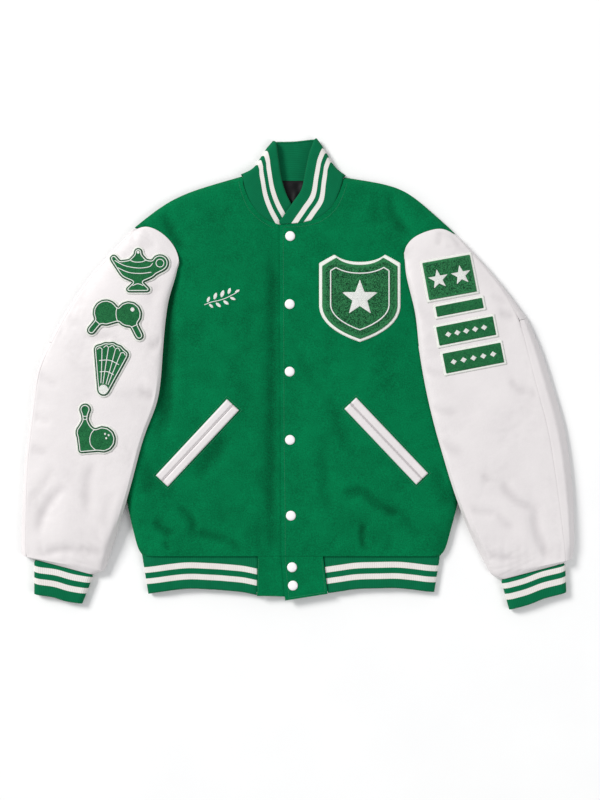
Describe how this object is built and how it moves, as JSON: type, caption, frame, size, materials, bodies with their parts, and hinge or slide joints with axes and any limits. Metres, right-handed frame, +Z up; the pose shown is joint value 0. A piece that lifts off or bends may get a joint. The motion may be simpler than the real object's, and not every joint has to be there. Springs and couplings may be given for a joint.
{
  "type": "varsity jacket",
  "caption": "Snap-front varsity jacket laid flat on its back: green wool body, white leather sleeves, striped rib collar, cuffs and hem, plain patches.",
  "frame": {"origin": "middle of the base, on the surface the jacket lies on", "axes": "+X across the jacket towards the wearer's left sleeve, +Y from the hem towards the collar, +Z up off the surface"},
  "size_m": [0.9152, 0.7796, 0.0321],
  "materials": {
    "wool": "green melton wool, matt",
    "rib": "green rib knit, matt",
    "leather_white": "off-white grained leather, satin",
    "felt_white": "white wool felt, matt",
    "chenille_green": "green looped chenille, matt",
    "lining_black": "black satin lining, soft sheen",
    "snap_white": "white enamelled snap cap, satin"
  },
  "bodies": {
    "root": {"back": "wool", "front_left": "wool", "front_right": "wool", "hem_tab_left": "wool", "hem_tab_right": "wool", "hem_band": "rib", "collar": "rib", "cuff_left": "rib", "cuff_right": "rib", "neck_lining": "lining_black", "top_sleeve_left": "leather_white", "under_sleeve_upper_left": "leather_white", "under_sleeve_lower_left": "leather_white", "pocket_lip_upper_left": "leather_white", "pocket_lip_lower_left": "leather_white", "top_sleeve_right": "leather_white", "under_sleeve_upper_right": "leather_white", "under_sleeve_lower_right": "leather_white", "pocket_lip_upper_right": "leather_white", "pocket_lip_lower_right": "leather_white", "snap_1": "snap_white", "snap_2": "snap_white", "snap_3": "snap_white", "snap_4": "snap_white", "snap_5": "snap_white", "snap_6": "snap_white", "snap_7": "snap_white", "chest_patch_felt": "felt_white", "chest_patch_chenille": "chenille_green", "patch_lamp_felt": "felt_white", "patch_lamp_chenille": "chenille_green", "patch_paddles_felt": "felt_white", "patch_paddles_chenille": "chenille_green", "patch_shuttlecock_felt": "felt_white", "patch_shuttlecock_chenille": "chenille_green", "patch_pin_felt": "felt_white", "patch_pin_chenille": "chenille_green", "plate_felt": "felt_white", "plate_chenille": "chenille_green", "bar_1_felt": "felt_white", "bar_1_face": "chenille_green", "bar_2_felt": "felt_white", "bar_2_face": "chenille_green", "bar_3_felt": "felt_white", "bar_3_face": "chenille_green"}
  },
  "joints": []
}
